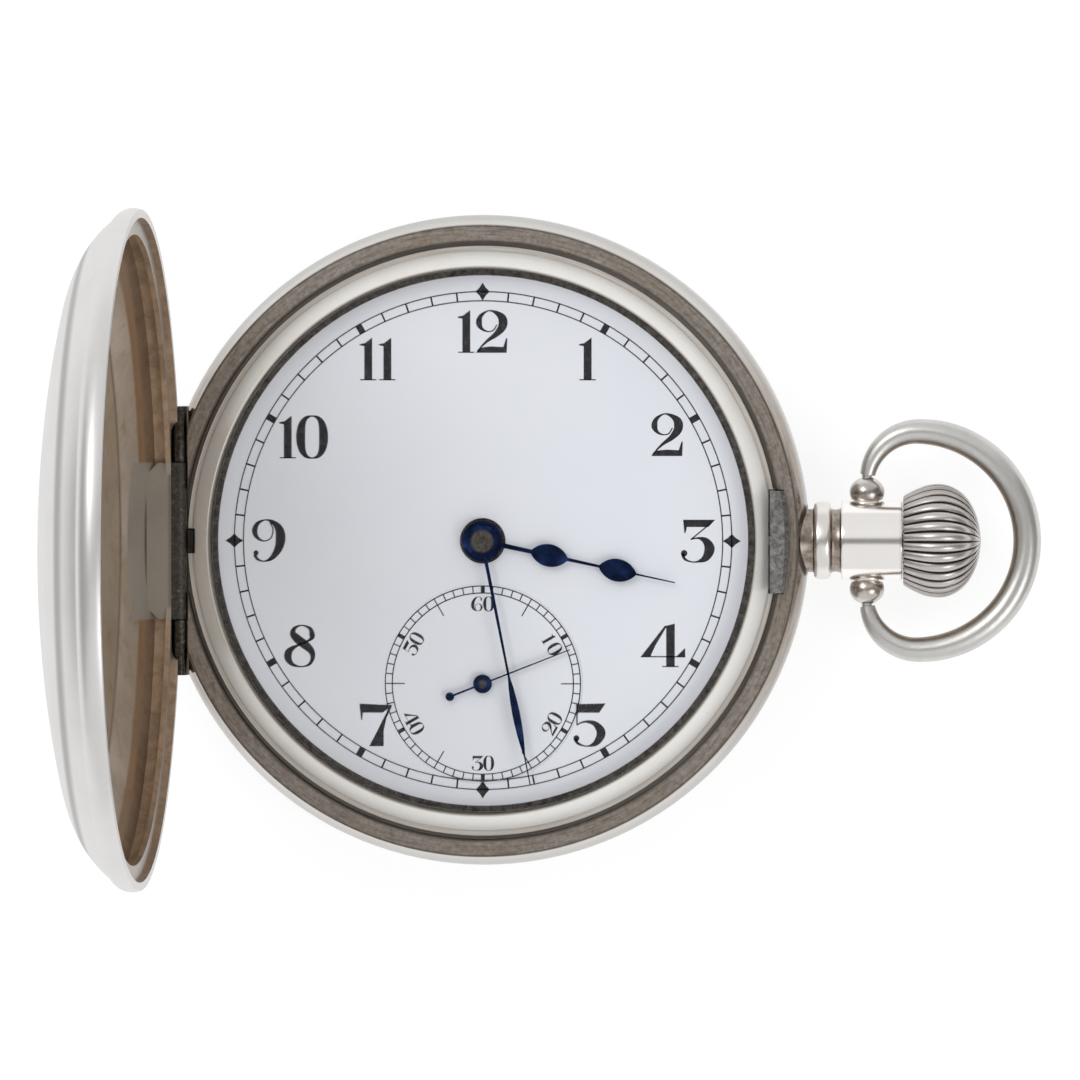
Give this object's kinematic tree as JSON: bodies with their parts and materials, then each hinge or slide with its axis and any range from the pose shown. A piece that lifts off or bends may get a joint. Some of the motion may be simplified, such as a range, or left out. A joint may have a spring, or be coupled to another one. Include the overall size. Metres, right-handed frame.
{
  "type": "half hunter pocket watch",
  "caption": "Round half hunter pocket watch with a hinged windowed front cover standing open, white dial, seconds dial, fluted crown and bow.",
  "frame": {"origin": "centre of the flat on the back cover, the face the watch lies on", "axes": "+Z out of the dial, +X along the stem to the crown, +Y to twelve"},
  "size_m": [0.0733, 0.05, 0.0578],
  "materials": {
    "silver": "polished, lightly worn and tarnished",
    "steel": "satin",
    "blued_steel": "blued, polished",
    "gilt_brass": "frosted",
    "ruby": "polished",
    "glass": "clear",
    "enamel": "glossy enamel"
  },
  "bodies": {
    "case": {"case_band": "silver", "front_hinge_pin": "steel", "back_hinge_pin": "steel", "bezel": "silver", "crystal": "glass", "lock_spring": "steel", "lift_spring": "steel", "pendant": "silver", "pendant_sleeve": "steel", "main_plate": "gilt_brass", "barrel_bridge": "gilt_brass", "train_bridge": "gilt_brass", "balance_cock": "gilt_brass", "pallet_cock": "gilt_brass", "jewels": "ruby", "bridge_screws": "steel", "case_screws": "steel", "click_screw": "steel", "regulator": "steel", "hairspring": "steel", "dial": "enamel"},
    "front_cover": {"front_cover": "silver", "window_ring": "silver", "window_glass": "glass"},
    "back_cover": {"back_cover": "silver"},
    "dust_cover": {"dust_cover": "silver"},
    "bow": {"bow": "silver"},
    "winding_pinion": {"winding_pinion": "steel"},
    "release_collar": {"release_collar": "steel"},
    "crown": {"crown": "silver", "stem": "steel"},
    "clutch": {"clutch": "steel"},
    "setting_lever": {"setting_lever": "steel"},
    "yoke": {"yoke": "steel"},
    "catch": {"catch": "steel"},
    "crown_wheel": {"crown_wheel": "steel", "transmission_wheel": "steel", "crown_wheel_screw": "steel"},
    "ratchet_wheel": {"ratchet_wheel": "steel", "barrel_arbor": "steel", "ratchet_screw": "steel"},
    "click": {"click": "steel"},
    "centre_wheel": {"centre_wheel": "gilt_brass", "cannon_pinion": "gilt_brass", "minute_hand": "blued_steel"},
    "hour_wheel": {"hour_wheel": "gilt_brass", "hour_hand": "blued_steel"},
    "minute_wheel": {"minute_wheel": "steel"},
    "setting_wheel": {"setting_wheel": "steel"},
    "barrel": {"barrel": "gilt_brass", "barrel_cover": "gilt_brass", "mainspring": "steel"},
    "third_wheel": {"third_wheel": "gilt_brass"},
    "fourth_wheel": {"fourth_wheel": "gilt_brass", "seconds_hand": "blued_steel"},
    "escape_wheel": {"escape_wheel": "gilt_brass"},
    "pallets": {"pallet_fork": "steel", "pallet_stones": "ruby"},
    "balance": {"balance_wheel": "gilt_brass", "roller": "steel"}
  },
  "joints": [
    {"name": "front_cover_close", "type": "hinge", "parent": "case", "child": "front_cover", "pos_m": [-0.02325, 0, 0.0095], "axis": [0, 1, 0], "range_deg": [0, 91], "stiffness_Nm_per_rad": 0.001, "springref_deg": -34.38},
    {"name": "back_cover_open", "type": "hinge", "parent": "case", "child": "back_cover", "pos_m": [-0.02325, 0, 0.0045], "axis": [0, 1, 0], "range_deg": [0, 90]},
    {"name": "dust_cover_open", "type": "hinge", "parent": "case", "child": "dust_cover", "pos_m": [-0.02325, 0, 0.0045], "axis": [0, 1, 0], "range_deg": [0, 72]},
    {"name": "bow_swing", "type": "hinge", "parent": "case", "child": "bow", "pos_m": [0.02945, 0, 0.0066], "axis": [0, 1, 0], "range_deg": [-90, 90]},
    {"name": "crown_turn", "type": "hinge", "parent": "case", "child": "winding_pinion", "pos_m": [0.0145, 0, 0.0066], "axis": [1, 0, 0], "continuous": true},
    {"name": "crown_push", "type": "slide", "parent": "winding_pinion", "child": "release_collar", "axis": [-1, 0, 0], "range_m": [0, 0.0004], "stiffness_N_per_m": 3000},
    {"name": "crown_pull", "type": "slide", "parent": "release_collar", "child": "crown", "axis": [1, 0, 0], "range_m": [0, 0.001]},
    {"name": "clutch_slide", "type": "slide", "parent": "winding_pinion", "child": "clutch", "axis": [-1, 0, 0], "range_m": [0, 0.001]},
    {"name": "setting_lever_swing", "type": "hinge", "parent": "case", "child": "setting_lever", "pos_m": [0.01729, 0.0033, 0.0076], "axis": [0, 0, 1], "range_deg": [0, 17.6]},
    {"name": "yoke_swing", "type": "hinge", "parent": "case", "child": "yoke", "pos_m": [0.0134, 0.0066, 0.0076], "axis": [0, 0, -1], "range_deg": [0, 10.5]},
    {"name": "catch_release", "type": "slide", "parent": "case", "child": "catch", "axis": [-1, 0, 0], "range_m": [0, 0.0004]},
    {"name": "crown_wheel_turn", "type": "hinge", "parent": "case", "child": "crown_wheel", "pos_m": [0.01219, 0, 0.003], "axis": [0, 0, 1], "continuous": true},
    {"name": "ratchet_turn", "type": "hinge", "parent": "case", "child": "ratchet_wheel", "pos_m": [0.0039, 0.00837, 0.003], "axis": [0, 0, 1], "continuous": true},
    {"name": "click_lift", "type": "hinge", "parent": "case", "child": "click", "pos_m": [-0.00517, 0.00742, 0.003], "axis": [0, 0, -1], "range_deg": [0, 6], "stiffness_Nm_per_rad": 0.0005},
    {"name": "seconds_turn", "type": "hinge", "parent": "case", "child": "fourth_wheel", "pos_m": [0, -0.01097, 0.005], "axis": [0, 0, -1], "continuous": true},
    {"name": "minute_turn", "type": "hinge", "parent": "case", "child": "centre_wheel", "pos_m": [0, 0, 0.006], "axis": [0, 0, -1], "continuous": true},
    {"name": "hour_turn", "type": "hinge", "parent": "case", "child": "hour_wheel", "pos_m": [0, 0, 0.0075], "axis": [0, 0, -1], "continuous": true},
    {"name": "minute_wheel_turn", "type": "hinge", "parent": "case", "child": "minute_wheel", "pos_m": [0.0048, 0, 0.0072], "axis": [0, 0, -1], "continuous": true},
    {"name": "setting_wheel_turn", "type": "hinge", "parent": "case", "child": "setting_wheel", "pos_m": [0.0096, 0, 0.0072], "axis": [0, 0, -1], "continuous": true},
    {"name": "barrel_turn", "type": "hinge", "parent": "case", "child": "barrel", "pos_m": [0.0039, 0.00837, 0.005], "axis": [0, 0, -1], "continuous": true},
    {"name": "third_wheel_turn", "type": "hinge", "parent": "case", "child": "third_wheel", "pos_m": [0.00336, -0.00585, 0.005], "axis": [0, 0, -1], "continuous": true},
    {"name": "escape_wheel_turn", "type": "hinge", "parent": "case", "child": "escape_wheel", "pos_m": [-0.00491, -0.01247, 0.0055], "axis": [0, 0, -1], "continuous": true},
    {"name": "pallets_rock", "type": "hinge", "parent": "case", "child": "pallets", "pos_m": [-0.00697, -0.00965, 0.0055], "axis": [0, 0, 1], "range_deg": [-4, 4]},
    {"name": "balance_swing", "type": "hinge", "parent": "case", "child": "balance", "pos_m": [-0.01093, -0.00424, 0.0046], "axis": [0, 0, 1], "range_deg": [-270, 270], "stiffness_Nm_per_rad": 0.000001}
  ],
  "couplings": [
    {"joint": "dust_cover_open", "follows": "back_cover_open", "ratio": 0.8},
    {"joint": "clutch_slide", "follows": "crown_pull", "ratio": 1},
    {"joint": "setting_lever_swing", "follows": "crown_pull", "rad_per_m": 306.31},
    {"joint": "yoke_swing", "follows": "crown_pull", "rad_per_m": 181.51},
    {"joint": "catch_release", "follows": "crown_push", "ratio": 1},
    {"joint": "crown_wheel_turn", "follows": "crown_turn", "ratio": 0.41667},
    {"joint": "ratchet_turn", "follows": "crown_turn", "ratio": -0.26316},
    {"joint": "minute_turn", "follows": "seconds_turn", "ratio": 0.016667},
    {"joint": "hour_turn", "follows": "seconds_turn", "ratio": 0.0013889},
    {"joint": "minute_wheel_turn", "follows": "seconds_turn", "ratio": -0.0055556},
    {"joint": "setting_wheel_turn", "follows": "seconds_turn", "ratio": 0.016667},
    {"joint": "barrel_turn", "follows": "seconds_turn", "ratio": -0.0027778},
    {"joint": "third_wheel_turn", "follows": "seconds_turn", "ratio": -0.13333},
    {"joint": "escape_wheel_turn", "follows": "seconds_turn", "ratio": -8}
  ]
}
